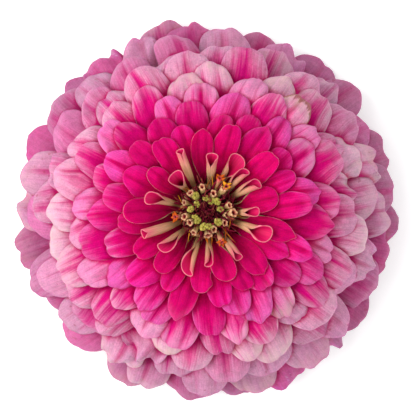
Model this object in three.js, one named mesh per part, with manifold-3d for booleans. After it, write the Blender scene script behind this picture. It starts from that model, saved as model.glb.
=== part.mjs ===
// A double zinnia bloom, snipped off just under its head and lying face up.
// A short stalk widens into a cone, the receptacle, and everything else stands round that cone:
// green bracts at the foot, 168 ray petals that climb it in a spiral, a few young petals that are
// still rolled up, a ring of small tube-shaped disc florets, and dark chaff in the middle.
// Millimetres, degrees, +Z up. The origin is under the middle of the head, on the surface it lies on.

import * as THREE from 'three';
import { mergeVertices } from 'three/addons/utils/BufferGeometryUtils.js';
import Module from 'manifold-3d';

const wasm = await Module();
wasm.setup();

// Counts and the spiral
const PETALS = 168;              // open ray petals, counted from the lowest and outermost
const YOUNG_PETALS = 14;         // rolled petals next to the disc, which go on with the same spiral
const TIERS = [0, 60, 120, 168]; // first petal of the outer, middle, inner and young petals
const BRACTS = 26;
const DISC_FLORETS = 26;
const CHAFF_SPIKES = 21;
const GOLDEN_ANGLE = 137.508;    // from one petal to the next
const SEED = 34;

// How a petal changes from the oldest to the youngest. tipRadius and tipHeight place its tip, rise
// and droop are the angles at which it leaves the receptacle and ends, and cup is how far its edges
// drop, as a share of its half width. A negative cup has its edges turned up.
const PETAL_STAGES = [
  { petal: 0, tipRadius: 58.2, tipHeight: 2.2, rise: 14, droop: 62, width: 17.0, cup: 0.32 },
  { petal: 28, tipRadius: 54.4, tipHeight: 12.4, rise: 28, droop: 59, width: 15.6, cup: 0.34 },
  { petal: 48, tipRadius: 50.4, tipHeight: 22.2, rise: 40, droop: 56, width: 14.2, cup: 0.36 },
  { petal: 68, tipRadius: 46.4, tipHeight: 29.6, rise: 47, droop: 50, width: 12.8, cup: 0.36 },
  { petal: 88, tipRadius: 42.2, tipHeight: 35.5, rise: 52, droop: 44, width: 11.2, cup: 0.34 },
  { petal: 106, tipRadius: 38.2, tipHeight: 40.0, rise: 55, droop: 36, width: 9.8, cup: 0.32 },
  { petal: 124, tipRadius: 33.8, tipHeight: 43.6, rise: 57, droop: 24, width: 8.6, cup: 0.24 },
  { petal: 146, tipRadius: 27.2, tipHeight: 46.7, rise: 58, droop: 6, width: 7.4, cup: 0.12 },
  { petal: 167, tipRadius: 20.5, tipHeight: 48.6, rise: 58, droop: -14, width: 6.4, cup: -0.05 },
  { petal: 168, tipRadius: 18.8, tipHeight: 48.8, rise: 58, droop: -16, width: 4.6, cup: -0.75 },
  { petal: 181, tipRadius: 14.5, tipHeight: 49.6, rise: 60, droop: -30, width: 3.6, cup: -0.95 },
];

// How far one petal, bract or floret may stray from its stage either way, in millimetres, in degrees
// or as a share. The first number of a pair only tells the random draws apart.
const STRAY = {
  tipRadius: [1, 1.6],
  tipHeight: [2, 1.4],
  droop: [3, 10],
  azimuth: [4, 3.0],
  width: [5, 0.14],
  roll: [6, 12],
  sway: [7, 4],
  cup: [8, 0.4],
  bractReach: [21, 0.3],
  bractHeight: [22, 0.3],
  bractWidth: [23, 0.08],
  bractRoll: [24, 5],
  floretLength: [31, 0.08],
  floretLean: [32, 4],
  floretAzimuth: [33, 6],
};

// A few petals stand on edge, turned about their spines: those whose draw is above this
const ON_EDGE = { feature: 9, above: 0.96, roll: 50 };

// The receptacle: a cone on whose wall the petals root
const FIRST_ROOT = 12.4;         // height of the lowest petal's root
const ROOT_PITCH = 0.13;         // from one root up to the next
const TIER_STEP = 1.1;           // added between the tiers
const ROOT_RADIUS = 9.5;         // at FIRST_ROOT
const ROOT_TAPER = 0.09;         // radius lost per millimetre of height
const COLLAR_IN = 0.9;           // from the root radius in to a collar's bore
const COLLAR_OUT = 0.7;          // and out to its face
const COLLAR_LIP = 0.75;         // from a collar's end to the nearest root
const GAP = 0.3;                 // between neighbouring pieces
const SIDES = 18;                // facets of a turned piece

// Petal blade
const PETAL_THICKNESS = 1.1;     // at the midrib, fading to the edge
const TIP_THINNING = 0.4;        // share of that thickness lost at the tip
const LEAST_HEIGHT = 1.4;        // of a petal tip over the surface
const LONGEST_REACH = 56.2;      // of a petal tip from the axis
const CLAW = 0.12;               // half width at the root, as a share of the widest
const CLAW_FLARE = 1.5;          // how late the claw flares out
const WIDEST = 0.74;             // where along the petal it is widest
const TIP_ROUNDING = 2.3;        // how late it narrows again
const BLUNT = 0.54;              // half width of the tip, as a share of the widest
const PETAL_ROWS = [0, 0.34, 0.66, 0.87, 1];
const HANDLES = [0.42, 0.36];    // of a spine's curve at root and tip, as a share of its reach

// Stalk, and the cup of bracts round its top. The bloom rests on the cup's flat foot ring.
const STALK_RADIUS = 3.3;
const STALK_LENGTH = 1.5;        // up to where it starts to widen
const SHOULDER = [0.4, 1.5];     // where it stops widening, in from and below the receptacle's wall
const CUP_WALL = [[7.6, 0], [8.8, 1.8], [10.6, 5.4], [11.2, 11.0]];
const CUP_TOP = CUP_WALL.at(-1)[1];
const BRACT_THICKNESS = 1.0;
const BRACT_CUP = -0.16;
const BRACT_ROWS = [0, 0.45, 0.82, 1];
const LOWEST_BRACT = {
  rootRadius: 6.6, rootHeight: 0.9, tipRadius: 11.6, tipHeight: 4.4, rise: 6, droop: -64, width: 6.4,
};
const HIGHEST_BRACT = {
  rootRadius: 9.0, rootHeight: 5.0, tipRadius: 15.6, tipHeight: 11.6, rise: 24, droop: -50, width: 8.4,
};

// Disc: a ring that carries the florets, with heights over the top of the receptacle
const DISC_BORE = 2.6;           // round the chaff
const RING_WALL = [[6.2, 0], [6.2, 1.4], [4.8, 3.0], [DISC_BORE, 4.0]];
const OUTER_FLORET = { length: 5.6, radius: 1.25, lean: 26, rootRadius: 5.0, rootHeight: 0.7 };
const INNER_FLORET = { length: 4.2, radius: 0.8, lean: 4, rootRadius: 3.9, rootHeight: 2.2 };
const FLORET_SIDES = 6;
const FLORET_FOOT = 0.6;         // radius at its foot, as a share of the mouth's
const MOUTH_DEPTH = 1.4;         // as a share of the mouth's radius
const CHAFF_HEIGHT = [5.4, 4.0]; // in the middle and at the edge
const CHAFF_FLAT = 0.4;          // of the tuft's core below its outer spikes
const SPIKE_LENGTH = 2.2;
const SPIKE_RADIUS = 0.5;

const rad = THREE.MathUtils.degToRad;
const mix = THREE.MathUtils.lerp;
const mixStages = (a, b, share) => Object.fromEntries(Object.keys(a).map((key) => [key, mix(a[key], b[key], share)]));

// A repeatable random number from -1 to 1 for one piece and one of its features: a small integer hash
function draw(index, feature) {
  let hash = (index * 374761393 + feature * 668265263 + SEED * 2246822519) >>> 0;
  hash = Math.imul(hash ^ (hash >>> 13), 1274126177) >>> 0;
  return ((hash ^ (hash >>> 16)) >>> 0) / 2 ** 31 - 1;
}

const stray = (index, [feature, most]) => most * draw(index, feature);

// Solids
function solidGeometry(points, triangles) {
  const geometry = new THREE.BufferGeometry();
  geometry.setAttribute('position', new THREE.Float32BufferAttribute(points.flatMap((p) => p.toArray()), 3));
  geometry.setIndex(triangles.flat());
  return geometry;
}

function toManifold(geometry) {
  const bare = geometry.clone();
  bare.deleteAttribute('normal');
  bare.deleteAttribute('uv');
  const merged = mergeVertices(bare, 1e-4);
  return new wasm.Manifold(new wasm.Mesh({
    numProp: 3,
    vertProperties: merged.attributes.position.array,
    triVerts: new Uint32Array(merged.index.array),
  }));
}

function fromManifold(solid) {
  const { vertProperties, triVerts } = solid.getMesh();
  const geometry = new THREE.BufferGeometry();
  geometry.setAttribute('position', new THREE.Float32BufferAttribute(vertProperties, 3));
  geometry.setIndex(Array.from(triVerts));
  const faceted = geometry.toNonIndexed();
  faceted.computeVertexNormals();
  return faceted;
}

const join = (solids) => solids.reduce((whole, piece) => whole.add(piece));
const largest = (solid) => solid.decompose().reduce((a, b) => (a.volume() > b.volume() ? a : b));

// A solid turned round the Z axis from [radius, height] points, listed from the foot outwards
function turned(profile) {
  const outline = profile.map(([radius, height]) => new THREE.Vector2(radius, height));
  return toManifold(new THREE.LatheGeometry(outline, SIDES).rotateX(Math.PI / 2));
}

// A blade along a spine: each row is a section with two sharp edges, and a point above and one
// below the midrib. place(s) gives the row's middle, the direction across it and its upward normal.
function blade({ rows, place, half, cup, thickness }) {
  const points = rows.flatMap((s) => {
    const { middle, across, up } = place(s);
    const ridge = (side) => middle.clone().addScaledVector(up, side * thickness(s) / 2);
    const edge = (side) => middle.clone().addScaledVector(across, side * half(s)).addScaledVector(up, -cup * half(s));
    return [edge(-1), ridge(1), edge(1), ridge(-1)];
  });
  const end = points.length - 4;
  const triangles = [[0, 1, 2], [0, 2, 3], [end, end + 2, end + 1], [end, end + 3, end + 2]];
  for (let corner = 0; corner < end; corner += 1) {
    const next = corner % 4 === 3 ? corner - 3 : corner + 1;
    triangles.push([corner, corner + 4, next], [next, corner + 4, next + 4]);
  }
  return toManifold(solidGeometry(points, triangles));
}

// Gives the frame of a blade whose spine is a curve in the plane of radius and height, turned to an
// azimuth. The blade rolls about its spine and sways to one side towards its tip.
function placer(curve, azimuth, roll, sway) {
  return (s) => {
    const point = curve.getPoint(s);
    const tangent = curve.getTangent(s);
    const turn = azimuth + sway * s * s;
    const outward = new THREE.Vector3(Math.cos(turn), Math.sin(turn), 0);
    const across = new THREE.Vector3(-Math.sin(turn), Math.cos(turn), 0);
    const along = outward.clone().multiplyScalar(tangent.x).setZ(tangent.y);
    const up = new THREE.Vector3().crossVectors(along, across);
    across.applyAxisAngle(along, roll * s);
    up.applyAxisAngle(along, roll * s);
    return { middle: outward.multiplyScalar(point.x).setZ(point.y), across, up };
  };
}

// A spine from root to tip, as [radius, height]: it leaves at the angle rise and ends drooping
function spine(root, tip, rise, droop) {
  const start = new THREE.Vector2(...root);
  const end = new THREE.Vector2(...tip);
  const [leave, arrive] = HANDLES.map((share) => share * start.distanceTo(end));
  const first = new THREE.Vector2(Math.cos(rad(rise)), Math.sin(rad(rise))).multiplyScalar(leave).add(start);
  const last = new THREE.Vector2(-Math.cos(rad(droop)), Math.sin(rad(droop))).multiplyScalar(arrive).add(end);
  return new THREE.CubicBezierCurve(start, first, last, end);
}

// Petals
const tierStarts = [...TIERS, PETALS + YOUNG_PETALS];
const tierOf = (index) => TIERS.filter((first) => first <= index).length - 1;
const rootHeight = (index) => FIRST_ROOT + ROOT_PITCH * index + TIER_STEP * tierOf(index);
const rootRadius = (height) => ROOT_RADIUS - ROOT_TAPER * (height - FIRST_ROOT);

function petalStage(index) {
  const next = Math.max(1, PETAL_STAGES.findIndex((stage) => stage.petal >= index));
  const [a, b] = [PETAL_STAGES[next - 1], PETAL_STAGES[next]];
  return mixStages(a, b, (index - a.petal) / (b.petal - a.petal));
}

// Half width along a petal as a share of the widest: a narrow claw, then a broad blunt end
function petalOutline(s) {
  if (s < WIDEST) {
    return CLAW + (1 - CLAW) * Math.sin((s / WIDEST) * Math.PI / 2) ** CLAW_FLARE;
  }
  return Math.max(BLUNT, (1 - ((s - WIDEST) / (1 - WIDEST)) ** TIP_ROUNDING) ** 0.5);
}

function petalRoll(index) {
  const chance = draw(index, ON_EDGE.feature);
  const turned = Math.abs(chance) > ON_EDGE.above ? Math.sign(chance) * ON_EDGE.roll : 0;
  return turned + stray(index, STRAY.roll);
}

// One petal, or the room that it takes up with a margin round it
function petal(index, margin = 0) {
  const stage = petalStage(index);
  const height = rootHeight(index);
  const tipRadius = Math.min(LONGEST_REACH, stage.tipRadius + stray(index, STRAY.tipRadius));
  const tipHeight = Math.max(LEAST_HEIGHT, stage.tipHeight + stray(index, STRAY.tipHeight));
  const droop = stage.droop + stray(index, STRAY.droop);
  const curve = spine([rootRadius(height), height], [tipRadius, tipHeight], stage.rise, droop);
  const azimuth = rad(GOLDEN_ANGLE * index + stray(index, STRAY.azimuth));
  const widest = stage.width / 2 * (1 + stray(index, STRAY.width));
  return blade({
    rows: PETAL_ROWS,
    place: placer(curve, azimuth, rad(petalRoll(index)), rad(stray(index, STRAY.sway))),
    half: (s) => widest * petalOutline(s) + 2 * margin,
    cup: stage.cup * (1 + stray(index, STRAY.cup)),
    thickness: (s) => PETAL_THICKNESS * (1 - TIP_THINNING * s ** 4) + 2 * margin,
  });
}

// Lowest and highest point of the collar that a tier's petals root in
function collarSpan(tier) {
  const low = rootHeight(tierStarts[tier]) - COLLAR_LIP;
  const lastRoot = rootHeight(tierStarts[tier + 1] - 1);
  const isTop = tier === TIERS.length - 1;
  return [low, isTop ? lastRoot + COLLAR_LIP : lastRoot + ROOT_PITCH + TIER_STEP - COLLAR_LIP - GAP];
}

function collar(tier, margin = 0) {
  const [low, high] = collarSpan(tier);
  const bore = (height) => rootRadius(height) - COLLAR_IN - margin;
  const face = (height) => rootRadius(height) + COLLAR_OUT + margin;
  return turned([
    [bore(low), low - margin],
    [face(low), low - margin],
    [face(high), high + margin],
    [bore(high), high + margin],
    [bore(low), low - margin],
  ]);
}

// The petals of one tier on their collar, cut clear of the collar and petals of the next tier up
function petalTier(tier) {
  const solids = [collar(tier)];
  for (let index = tierStarts[tier]; index < tierStarts[tier + 1]; index += 1) {
    solids.push(petal(index));
  }
  let whole = join(solids);
  if (tier + 1 < TIERS.length) {
    whole = whole.subtract(collar(tier + 1, GAP));
    for (let index = tierStarts[tier + 1]; index < tierStarts[tier + 2]; index += 1) {
      if (whole.intersect(petal(index)).volume() > 0) {
        whole = whole.subtract(petal(index, GAP));
      }
    }
  }
  return largest(whole);
}

// Stalk stub and receptacle, turned as one piece
const receptacleRadius = (height) => rootRadius(height) - COLLAR_IN - GAP;
const receptacleTop = collarSpan(TIERS.length - 1)[1];
const shoulderRadius = receptacleRadius(CUP_TOP) - SHOULDER[0];
const shoulderHeight = CUP_TOP - SHOULDER[1];

function stalk() {
  return turned([
    [0, 0],
    [STALK_RADIUS, 0],
    [STALK_RADIUS, STALK_LENGTH],
    [shoulderRadius, shoulderHeight],
    [receptacleRadius(CUP_TOP), CUP_TOP],
    [receptacleRadius(receptacleTop), receptacleTop],
    [0, receptacleTop],
  ]);
}

// Bracts: scales that overlap upwards round a cup, the lowest ones short and the top ones longest
function bract(index) {
  const stage = mixStages(LOWEST_BRACT, HIGHEST_BRACT, index / (BRACTS - 1));
  const tipRadius = stage.tipRadius + stray(index, STRAY.bractReach);
  const tipHeight = stage.tipHeight + stray(index, STRAY.bractHeight);
  const curve = spine([stage.rootRadius, stage.rootHeight], [tipRadius, tipHeight], stage.rise, stage.droop);
  const widest = stage.width / 2 * (1 + stray(index, STRAY.bractWidth));
  return blade({
    rows: BRACT_ROWS,
    place: placer(curve, rad(GOLDEN_ANGLE * index), rad(stray(index, STRAY.bractRoll)), 0),
    half: (s) => widest * Math.max(0.4, Math.sin(Math.PI * (0.22 + 0.7 * s)) ** 0.6),
    cup: BRACT_CUP,
    thickness: () => BRACT_THICKNESS,
  });
}

function bracts() {
  const cup = turned([
    [STALK_RADIUS + GAP, 0],
    ...CUP_WALL,
    [receptacleRadius(CUP_TOP) + GAP, CUP_TOP],
    [shoulderRadius + GAP, shoulderHeight - GAP],
    [STALK_RADIUS + GAP, STALK_LENGTH - GAP],
    [STALK_RADIUS + GAP, 0],
  ]);
  const scales = Array.from({ length: BRACTS }, (_, index) => bract(index));
  return largest(join([cup, ...scales]));
}

// Disc florets: short tubes with a hollow mouth, leaning out from a ring on top of the receptacle
const discFoot = receptacleTop + GAP;

function floret(index) {
  const stage = mixStages(OUTER_FLORET, INNER_FLORET, index / (DISC_FLORETS - 1));
  const length = stage.length * (1 + stray(index, STRAY.floretLength));
  const tube = new THREE.LatheGeometry([
    new THREE.Vector2(0, 0),
    new THREE.Vector2(stage.radius * FLORET_FOOT, 0),
    new THREE.Vector2(stage.radius, length),
    new THREE.Vector2(0, length - stage.radius * MOUTH_DEPTH),
  ], FLORET_SIDES).rotateX(Math.PI / 2);
  tube.rotateY(rad(stage.lean + stray(index, STRAY.floretLean)));
  tube.translate(stage.rootRadius, 0, discFoot + stage.rootHeight);
  tube.rotateZ(rad(GOLDEN_ANGLE * index + stray(index, STRAY.floretAzimuth)));
  return toManifold(tube);
}

function discFlorets() {
  const wall = RING_WALL.map(([radius, height]) => [radius, discFoot + height]);
  const ring = turned([[DISC_BORE, discFoot], ...wall, [DISC_BORE, discFoot]]);
  const florets = Array.from({ length: DISC_FLORETS }, (_, index) => floret(index));
  const top = discFoot + 2 * OUTER_FLORET.length;
  const chaffRoom = turned([[0, discFoot - 1], [DISC_BORE, discFoot - 1], [DISC_BORE, top], [0, top]]);
  return largest(join([ring, ...florets]).subtract(chaffRoom));
}

// Chaff: dark pointed scales packed into a tuft in the middle of the disc
function chaff() {
  const radius = DISC_BORE - GAP;
  const [middle, edge] = CHAFF_HEIGHT.map((height) => discFoot + height);
  const core = turned([[0, discFoot], [radius, discFoot], [radius, edge - CHAFF_FLAT], [0, middle]]);
  const spikes = Array.from({ length: CHAFF_SPIKES }, (_, index) => {
    const reach = Math.sqrt((index + 0.5) / CHAFF_SPIKES);
    const spike = new THREE.ConeGeometry(SPIKE_RADIUS, 2 * SPIKE_LENGTH, 3).rotateX(Math.PI / 2);
    spike.translate(reach * (radius - SPIKE_RADIUS), 0, mix(middle, edge, reach));
    return toManifold(spike.rotateZ(rad(GOLDEN_ANGLE * index)));
  });
  return largest(join([core, ...spikes]));
}

// Assembly
const group = new THREE.Group();

function add(name, solid, color, roughness) {
  const mesh = new THREE.Mesh(fromManifold(solid), new THREE.MeshStandardMaterial({ color, roughness }));
  mesh.name = name;
  group.add(mesh);
}

add('stalk', stalk(), 0x6f8f45, 0.6);
add('bracts', bracts(), 0x5d7d35, 0.6);
add('outer_petals', petalTier(0), 0xcf86ac, 0.55);
add('middle_petals', petalTier(1), 0xdc5f9c, 0.55);
add('inner_petals', petalTier(2), 0xd10f66, 0.5);
add('young_petals', petalTier(3), 0xd8ae86, 0.5);
add('disc_florets', discFlorets(), 0xc2b060, 0.5);
add('chaff', chaff(), 0x4a1218, 0.7);

export default group;
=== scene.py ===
# A double zinnia bloom, snipped off under its head and lying face up on its bract cup.
# The petals, bracts and florets stand in the same spiral, with the same random draws, as the solids
# of the frame. They get their true outlines, pleats, rolled edges and thin blades here, and colours
# that fade from hot magenta in the middle to pale mauve at the rim.
# Sizes are in millimetres and degrees until a mesh is built, which is in metres.
import math
from functools import partialmethod

import bpy
import numpy as np
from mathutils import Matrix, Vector
from mathutils.bvhtree import BVHTree


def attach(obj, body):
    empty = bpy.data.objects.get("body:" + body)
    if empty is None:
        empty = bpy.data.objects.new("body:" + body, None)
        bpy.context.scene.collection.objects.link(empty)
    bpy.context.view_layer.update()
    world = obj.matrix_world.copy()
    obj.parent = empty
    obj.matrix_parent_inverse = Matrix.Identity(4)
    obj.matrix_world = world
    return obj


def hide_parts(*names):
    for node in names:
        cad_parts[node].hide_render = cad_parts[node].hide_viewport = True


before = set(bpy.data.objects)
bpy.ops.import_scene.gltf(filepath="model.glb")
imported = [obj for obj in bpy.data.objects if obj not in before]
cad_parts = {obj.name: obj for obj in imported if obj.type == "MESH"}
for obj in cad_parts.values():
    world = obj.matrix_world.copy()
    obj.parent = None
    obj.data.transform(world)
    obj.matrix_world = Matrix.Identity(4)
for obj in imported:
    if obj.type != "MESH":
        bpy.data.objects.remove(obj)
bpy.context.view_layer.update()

MM = 0.001

# Counts and the spiral
PETALS = 168
YOUNG_PETALS = 14
TIERS = (0, 60, 120, 168)
TIER_NAMES = ("outer", "middle", "inner", "young")
BRACTS = 26
DISC_FLORETS = 26
GOLDEN_ANGLE = 137.508
SEED = 34

# How a petal changes from the oldest to the youngest
STAGE_KEYS = ("tip_radius", "tip_height", "rise", "droop", "width", "cup")
PETAL_STAGES = (
    (0, 58.2, 2.2, 14, 62, 17.0, 0.32),
    (28, 54.4, 12.4, 28, 59, 15.6, 0.34),
    (48, 50.4, 22.2, 40, 56, 14.2, 0.36),
    (68, 46.4, 29.6, 47, 50, 12.8, 0.36),
    (88, 42.2, 35.5, 52, 44, 11.2, 0.34),
    (106, 38.2, 40.0, 55, 36, 9.8, 0.32),
    (124, 33.8, 43.6, 57, 24, 8.6, 0.24),
    (146, 27.2, 46.7, 58, 6, 7.4, 0.12),
    (167, 20.5, 48.6, 58, -14, 6.4, -0.05),
    (168, 18.8, 48.8, 58, -16, 4.6, -0.75),
    (181, 14.5, 49.6, 60, -30, 3.6, -0.95),
)

# How far one petal, bract or floret strays: the number of its draw, and the most either way
STRAY = {
    "tip_radius": (1, 1.6),
    "tip_height": (2, 1.4),
    "droop": (3, 10),
    "azimuth": (4, 3.0),
    "width": (5, 0.14),
    "roll": (6, 12),
    "sway": (7, 4),
    "cup": (8, 0.4),
    "bract_reach": (21, 0.3),
    "bract_height": (22, 0.3),
    "bract_width": (23, 0.08),
    "bract_roll": (24, 5),
    "floret_length": (31, 0.08),
    "floret_lean": (32, 4),
    "floret_azimuth": (33, 6),
}
ON_EDGE = (9, 0.96, 50)  # a few petals turned on edge: the draw's number, its least size, degrees

# Receptacle and spines
FIRST_ROOT = 12.4  # height of the oldest petal's root
ROOT_PITCH = 0.13  # from one root up to the next
TIER_STEP = 1.1  # and more between two tiers
ROOT_RADIUS = 9.5  # at the first root
ROOT_TAPER = 0.09  # radius lost with each millimetre of height
COLLAR_LIP = 0.75  # of the receptacle's skin, past the first root and the last
LEAST_HEIGHT = 1.4  # of a petal's tip
LONGEST_REACH = 56.2  # of a petal's tip, from the axis
HANDLES = (0.42, 0.36)  # of a spine's curve, as shares of the way from its root to its tip

# Petal blade
CLAW = 0.12  # width at the root, as a share of the widest
CLAW_FLARE = 1.5  # power of the curve that widens it
WIDEST = 0.74  # where the blade is widest, as a share of its length
TIP_ROUNDING = 2.3  # root taken of the curve that rounds the tip
BROADER = 0.13  # how much wider than in the solids the petals of middling age are
ALONG = 28  # rows of points along a petal
ACROSS = 23  # and across it
FOLD_WIDTHS = (0.15, 0.24)  # of a petal's one fold, on the older petals and on the younger
TWIN_FOLDS = (-0.36, 0.36)  # where across a petal its two soft folds run
DENTS = 4  # waves that are added up into the dents of a petal
ROOT_THICKNESS = 0.9
BLADE_THICKNESS = 0.46
RIM_THICKNESS = 0.16
TUBE_ROLL = 3.9  # radians from the midrib of a rolled petal to its margin
TUBE_REACH = (3.8, 3.1)  # from its midrib to its margin, on the oldest and the youngest
MOUTH_ROLL = (3.5, 1.5)  # radians again, at a narrow mouth and at a spoon
NEIGHBOURS = 56  # the next younger petals that may lie over a petal
NEAR_TURN = 48  # when they stand within so many degrees of it
PRESS_REACH = 4.0  # how far over a younger petal a point is still pressed down
PRESS_GAP = 0.55  # the gap left between their middle surfaces
PRESS_FADE = 2.6  # how far past the younger petal's edge the press fades out
PRESS_ROUNDS = 2
FLOOR_CLEARANCE = 0.5  # of every petal's middle surface
# Painted crevice shade: rays from each point of a petal find how much of the sky the petals near it hide
SKY_RAYS = 14  # looks from each point of a petal, to find how deep in a crevice it is
SKY_REACH = 9.0  # how far they go
SKY_START = 0.3  # and how far off the surface they start

# Cup, bracts and stalk
STALK_RADIUS = 3.3
STALK_LENGTH = 1.5
SHOULDER = (0.4, 1.5)  # how far inside the cone's foot and under the cup's top the stub's shoulder is
CUP_WALL = ((7.6, 0), (8.8, 1.8), (10.6, 5.4), (11.2, 11.0))
CUP_TOP = CUP_WALL[-1][1]
COLLAR_INSET = 1.2  # from the petals' root radius in to the receptacle's own wall
GAP = 0.3  # between neighbouring pieces
SKIN_OUT = 0.5  # of the receptacle's skin, out over the petals' roots
SKIN_ROUND = 0.4  # height of the skin's round upper edge
ON_AXIS = 0.02  # radius of a turned body where it meets the axis
CONE_SORT = 1.0  # by which their materials know the receptacle from the stub
RING_SORT = 2.0  # and the disc's ring from its florets
BRACT_KEYS = ("root_radius", "root_height", "tip_radius", "tip_height", "rise", "droop", "width")
LOWEST_BRACT = (6.6, 0.9, 11.6, 4.4, 6, -64, 6.4)
HIGHEST_BRACT = (9.0, 5.0, 15.6, 11.6, 24, -50, 8.4)
BRACT_CUP = -0.16
BRACT_THICKNESS = 0.9
BRACT_RIM = 0.14  # thickness of its edge
BRACT_GRID = (22, 31)  # points along it and across it
FRINGE = 0.02  # depth of the teeth on a bract's edge, as a share of its length
FRINGE_WAVE = 47  # radians of the wave that cuts them, from the midrib to the margin

# Disc, with heights over the top of the receptacle
DISC_BORE = 2.6
RING_WALL = ((6.2, 0), (6.2, 1.4), (4.8, 3.0), (DISC_BORE, 4.0))
FLORET_KEYS = ("length", "radius", "lean", "root_radius", "root_height")
OUTER_FLORET = (5.6, 1.25, 26, 5.0, 0.7)
INNER_FLORET = (4.2, 0.8, 4, 3.9, 2.2)
FLORET_SPRAWL = 12  # how much more a floret may lean than in the solids, in degrees
OPEN_LEAN = 13  # how much more the open ones lean, which shows their walls
OPEN_ROOT_IN = 0.9  # and how much nearer the axis they stand
OPEN_RADIUS = 0.86  # their radius, as a share of the solids'
BUD_LEAN = -12  # buds lean in over the chaff instead
BUD_RADIUS = 1.1  # and are plumper
FIRST_BUD = 14  # disc florets from here on are still closed
FLORET_SIDES = 20
STARS = ((69, 6.2, 43), (52, 5.4, 36), (190, 5.0, 42), (296, 5.4, 46))  # azimuth, length, lean
STAR_ROOT = (5.6, 1.2)  # radius and height of an open floret's root
STAR_TUBE = 0.75  # radius of its tube
STAR_LOBES = 5
LOBE_WIDTH = 0.56
SLIVER_ROWS = 6  # rings of points along a lobe, a thread or a scale of chaff
THREADS = 22  # orange stigmas and anthers between the florets
THREAD_WIDTH = 0.2
THREAD_ROOT = (6.0, 1.5)  # radius and height
TUFT_SCALES = 110  # chaff in the middle of the disc
TUFT_CORE = (3.2, 4.6)  # heights of the core that they hide, at its edge and on the axis
TUFT_ROOTS = (3.8, 2.4)  # heights of their roots, on the axis and at the edge
RIM_SCALES = 210  # chaff between the florets and round them
RIM_REACH = 6.9  # how far out it goes
RIM_ROOTS = ((2.6, 3.6), (4.8, 2.6), (6.2, 1.0), (7.0, -1.0))  # radius and height of its roots


def draw(index, feature):
    """A repeatable random number from -1 to 1 for one piece and one of its features. Features up to
    33 are numbered as in the solids, and from 40 on they are what only shows here."""
    value = (index * 374761393 + feature * 668265263 + SEED * 2246822519) & 0xFFFFFFFF
    value = ((value ^ (value >> 13)) * 1274126177) & 0xFFFFFFFF
    return (value ^ (value >> 16)) / 2**31 - 1


def chance(index, feature):
    """The same draw as a number from 0 to 1."""
    return 0.5 + 0.5 * draw(index, feature)


def stray(index, feature):
    number, most = STRAY[feature]
    return most * draw(index, number)


def smooth(low, high, value):
    """Eases from 0 at low to 1 at high."""
    share = np.clip((value - low) / (high - low), 0, 1)
    return share * share * (3 - 2 * share)


def mix(a, b, share):
    return a + (b - a) * share


def between(keys, first, last, share):
    """Named values on the way from a first row of them to a last one."""
    return {key: mix(low, high, share) for key, low, high in zip(keys, first, last)}


def radial(turn, height=0.0):
    """The direction away from the Z axis at a turn in radians, raised by a height."""
    return np.array([math.cos(turn), math.sin(turn), height])


# Meshes
def linked(name, data):
    """A new object in the scene."""
    made = bpy.data.objects.new(name, data)
    bpy.context.scene.collection.objects.link(made)
    return made


class Batch:
    """Gathers grids of points into one mesh. Each point carries its place on its blade (along,
    across, side), the kind of its blade (age, and two random numbers) and its relief (how deep its
    groove is, how much the petals near it hide it, which sets its painted crevice shade, and how near
    it is to a fold), for the colours."""

    def __init__(self):
        self.points, self.faces = [], []
        self.layers = {"place": [], "kind": [], "relief": []}
        self.count = 0

    def add(self, points, faces, place, kind, relief=0.0):
        """Adds one body. Its kind and its relief may also be the same for all of its points."""
        self.points.append(points.reshape(-1, 3))
        self.faces.extend([corner + self.count for corner in face] for face in faces)
        for label, values in (("place", place), ("kind", kind), ("relief", relief)):
            self.layers[label].append(np.broadcast_to(values, points.shape).reshape(-1, 3))
        self.count += points.size // 3

    def build(self, name, material):
        mesh = bpy.data.meshes.new(name)
        mesh.from_pydata((np.vstack(self.points) * MM).tolist(), [], self.faces)
        for label, values in self.layers.items():
            layer = mesh.attributes.new(label, "FLOAT_VECTOR", "POINT")
            layer.data.foreach_set("vector", np.vstack(values).ravel())
        mesh.polygons.foreach_set("use_smooth", [True] * len(mesh.polygons))
        mesh.materials.append(material)
        mesh.update()
        return linked(name, mesh)


def grid_faces(rows, columns):
    """Quads between the points of a grid."""
    index = np.arange(rows * columns).reshape(rows, columns)
    corners = [index[:-1, :-1], index[1:, :-1], index[1:, 1:], index[:-1, 1:]]
    return np.stack(corners, axis=-1).reshape(-1, 4)


def sheet_faces(rows, columns):
    """Quads of a thin closed shell: a top grid, a bottom grid and the rim between them."""
    top = grid_faces(rows, columns)
    size = rows * columns
    index = np.arange(size).reshape(rows, columns)
    loop = np.concatenate([index[:-1, 0], index[-1, :-1], index[:0:-1, -1], index[0, :0:-1]])
    after = np.roll(loop, -1)
    rim = np.stack([loop, loop + size, after + size, after], axis=-1)
    return np.vstack([top, top[:, ::-1] + size, rim]).tolist()


def ring_faces(rings, sides, closed=False):
    """Quads between rings of points listed ring by ring. The ends are capped, or joined if closed."""
    ring, side = np.meshgrid(np.arange(rings if closed else rings - 1), np.arange(sides), indexing="ij")
    near, far = ring * sides, (ring + 1) % rings * sides
    after = (side + 1) % sides
    faces = np.stack([near + side, near + after, far + after, far + side], axis=-1).reshape(-1, 4).tolist()
    if not closed:
        faces.append(list(range(sides))[::-1])
        faces.append(list(range((rings - 1) * sides, rings * sides)))
    return faces


def add_shell(batch, middle, up, thickness, along, across, kind, relief=0.0):
    """Adds a thin closed blade, given its middle surface and the upward direction at each point."""
    half = (thickness / 2)[..., None] * up
    place = [np.stack([along, across, 0 * along + side], axis=-1) for side in (0, 1)]
    batch.add(np.stack([middle + half, middle - half]), sheet_faces(*along.shape), place, kind, relief)


def add_rings(batch, rings, place, kind, closed=False):
    """Adds a body given as rings of points."""
    batch.add(rings, ring_faces(*rings.shape[:2], closed), place, kind)


def ring_turns(sides):
    """The angles of so many points round a ring, in radians."""
    return np.arange(sides) * 2 * math.pi / sides


def rings_at(radius, height, turn):
    """Rings of points at a radius and a height from the Z axis, for each turn round it."""
    return np.stack([radius * np.cos(turn), radius * np.sin(turn), height + 0 * turn], axis=-1)


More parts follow.
